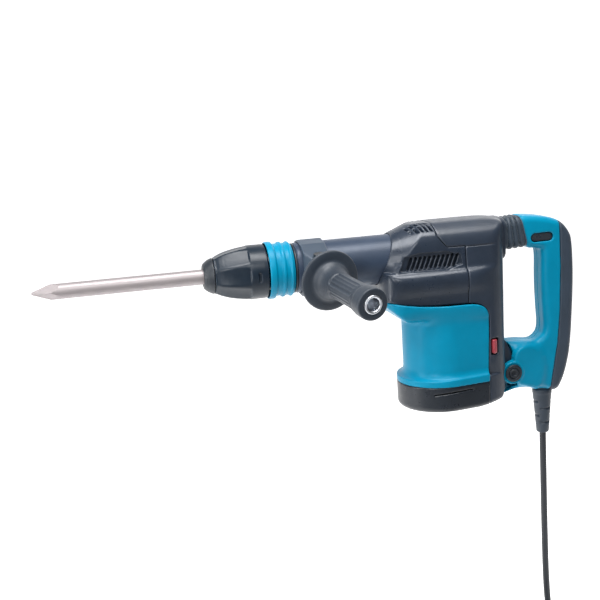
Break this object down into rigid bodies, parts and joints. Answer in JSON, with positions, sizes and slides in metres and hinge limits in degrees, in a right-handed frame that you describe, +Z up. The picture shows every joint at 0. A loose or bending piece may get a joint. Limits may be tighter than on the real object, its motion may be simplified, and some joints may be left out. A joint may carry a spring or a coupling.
{
  "type": "demolition hammer",
  "caption": "Electric demolition hammer with a round chisel, sliding chuck, swinging side handle, upright motor housing and a sprung D-shaped rear handle.",
  "frame": {"origin": "middle of the upright grip of the rear handle", "axes": "+X points from the chisel to the rear handle along the tool axis, +Y to the operator's right hand side seen from behind with the chisel away, +Z up, away from the motor housing's base"},
  "size_m": [0.6659, 0.2231, 0.582],
  "materials": {
    "bit_steel": "forged steel, bright ground",
    "machined_steel": "machined steel",
    "spring_steel": "oiled spring wire",
    "screw_steel": "black oxide steel",
    "bright_steel": "bright steel tube",
    "laminated_steel": "varnished laminations",
    "cast_aluminium": "die-cast aluminium",
    "barrel_paint": "dark blue-grey painted casting",
    "housing_paint": "dark blue-grey painted casting",
    "housing_plastic": "dark blue-grey moulded nylon",
    "clamp_plastic": "dark glass-filled nylon",
    "chuck_plastic": "dark satin moulded plastic",
    "black_plastic": "black moulded plastic",
    "inner_plastic": "black phenolic",
    "teal_plastic": "teal moulded nylon, semi-gloss",
    "black_rubber": "black rubber",
    "grip_rubber": "dark elastomer, moulded ribs",
    "handle_rubber": "dark grey soft grip",
    "bellows_rubber": "dark folded rubber",
    "guard_rubber": "dark moulded rubber",
    "cord_rubber": "black rubber sheath",
    "red_lens": "red translucent lens",
    "brass": "brass",
    "brass_plated": "nickel-plated brass",
    "carbon": "carbon"
  },
  "bodies": {
    "housing": {"barrel_seal": "black_rubber", "barrel_housing": "barrel_paint", "cylinder": "machined_steel", "crank_bearings": "machined_steel", "armature_bearings": "machined_steel", "field_core": "laminated_steel", "brush_holders": "brass", "carbon_brushes": "carbon", "gear_housing": "housing_paint", "rear_cover": "housing_plastic", "bearing_plate": "cast_aluminium", "motor_housing": "teal_plastic", "bottom_cover": "black_plastic", "dial_shaft": "machined_steel", "control_board": "inner_plastic", "indicator_lamp": "red_lens", "housing_screws": "screw_steel", "base_screws": "screw_steel", "damper_rod": "machined_steel", "damper_spring": "spring_steel", "handle_bellows": "bellows_rubber"},
    "holder": {"tool_holder": "machined_steel", "nose_cap": "black_rubber", "release_spring": "spring_steel"},
    "chisel": {"chisel_bit": "bit_steel"},
    "impact_bolt": {"impact_bolt": "machined_steel"},
    "lug_upper": {"locking_lug_upper": "machined_steel"},
    "lug_lower": {"locking_lug_lower": "machined_steel"},
    "release_cover": {"release_cover": "chuck_plastic"},
    "change_ring": {"change_ring": "teal_plastic"},
    "striker": {"striker": "machined_steel"},
    "piston": {"piston": "cast_aluminium", "piston_pin": "machined_steel"},
    "connecting_rod": {"connecting_rod": "cast_aluminium"},
    "crank": {"crank_shaft": "machined_steel", "crank_gear": "machined_steel"},
    "rotor": {"armature": "machined_steel", "cooling_fan": "inner_plastic"},
    "speed_dial": {"speed_dial": "black_plastic"},
    "side_mount": {"clamp_band": "clamp_plastic", "clamp_bolt": "screw_steel"},
    "clamp_nut": {"clamp_nut": "black_plastic"},
    "side_grip": {"knuckle_block": "clamp_plastic", "grip_core": "bright_steel", "side_grip": "grip_rubber"},
    "rear_handle": {"handle_shell_left": "teal_plastic", "handle_shell_right": "teal_plastic", "handle_rubber": "handle_rubber", "pivot_pin": "machined_steel", "pivot_caps": "black_rubber", "switch_body": "inner_plastic", "handle_screws": "screw_steel", "cord_guard": "guard_rubber", "supply_cord": "cord_rubber", "cord_coil": "cord_rubber", "cord_tie": "black_rubber", "plug_body": "guard_rubber", "plug_pins": "brass_plated"},
    "switch_lever": {"switch_lever": "black_plastic"}
  },
  "joints": [
    {"name": "holder_turn", "type": "hinge", "parent": "housing", "child": "holder", "pos_m": [-0.328, 0, 0.066], "axis": [1, 0, 0], "continuous": true},
    {"name": "chisel_slide", "type": "slide", "parent": "holder", "child": "chisel", "axis": [-1, 0, 0], "range_m": [0, 0.012]},
    {"name": "impact_bolt_slide", "type": "slide", "parent": "holder", "child": "impact_bolt", "axis": [-1, 0, 0], "range_m": [0, 0.012]},
    {"name": "release_cover_slide", "type": "slide", "parent": "holder", "child": "release_cover", "axis": [1, 0, 0], "range_m": [0, 0.006], "stiffness_N_per_m": 2500, "springref_m": -0.002, "deforming": ["release_spring"]},
    {"name": "lug_upper_slide", "type": "slide", "parent": "holder", "child": "lug_upper", "axis": [0, 0, 1], "range_m": [0, 0.0026]},
    {"name": "lug_lower_slide", "type": "slide", "parent": "holder", "child": "lug_lower", "axis": [0, 0, -1], "range_m": [0, 0.0026]},
    {"name": "change_ring_slide", "type": "slide", "parent": "holder", "child": "change_ring", "axis": [-1, 0, 0], "range_m": [0, 0.004], "stiffness_N_per_m": 2000, "springref_m": -0.002},
    {"name": "striker_slide", "type": "slide", "parent": "housing", "child": "striker", "axis": [1, 0, 0], "range_m": [0, 0.008]},
    {"name": "piston_slide", "type": "slide", "parent": "housing", "child": "piston", "axis": [1, 0, 0], "range_m": [0, 0.03]},
    {"name": "connecting_rod_swing", "type": "hinge", "parent": "piston", "child": "connecting_rod", "pos_m": [-0.249, 0, 0.066], "axis": [0, 0, 1], "range_deg": [-12, 12]},
    {"name": "armature_spin", "type": "hinge", "parent": "housing", "child": "rotor", "pos_m": [-0.148, 0, -0.034], "axis": [0, 0, 1], "continuous": true},
    {"name": "crank_spin", "type": "hinge", "parent": "housing", "child": "crank", "pos_m": [-0.187, 0, 0.036], "axis": [0, 0, 1], "continuous": true},
    {"name": "speed_dial_turn", "type": "hinge", "parent": "housing", "child": "speed_dial", "pos_m": [-0.0845, 0, 0.046], "axis": [0, 1, 0], "range_deg": [0, 270]},
    {"name": "side_handle_swing", "type": "hinge", "parent": "housing", "child": "side_mount", "pos_m": [-0.3131, 0, 0.066], "axis": [1, 0, 0], "continuous": true},
    {"name": "side_grip_tilt", "type": "hinge", "parent": "side_mount", "child": "side_grip", "pos_m": [-0.3131, -0.04169, 0.06088], "axis": [0, -0.1219, 0.9925], "range_deg": [-37.5, 12]},
    {"name": "clamp_nut_turn", "type": "hinge", "parent": "side_mount", "child": "clamp_nut", "pos_m": [-0.3131, -0.04169, 0.06088], "axis": [0, -0.1219, 0.9925], "range_deg": [0, 360]},
    {"name": "rear_handle_swing", "type": "hinge", "parent": "housing", "child": "rear_handle", "pos_m": [-0.0688, 0, -0.0905], "axis": [0, -1, 0], "range_deg": [-1, 2], "stiffness_Nm_per_rad": 900, "deforming": ["damper_spring", "handle_bellows"]},
    {"name": "switch_lever_slide", "type": "slide", "parent": "rear_handle", "child": "switch_lever", "axis": [0, -1, 0], "range_m": [0, 0.006]}
  ],
  "couplings": [
    {"joint": "impact_bolt_slide", "follows": "chisel_slide", "ratio": 1},
    {"joint": "lug_upper_slide", "follows": "release_cover_slide", "ratio": 0.43333},
    {"joint": "lug_lower_slide", "follows": "release_cover_slide", "ratio": 0.43333},
    {"joint": "crank_spin", "follows": "armature_spin", "ratio": -0.18182}
  ]
}
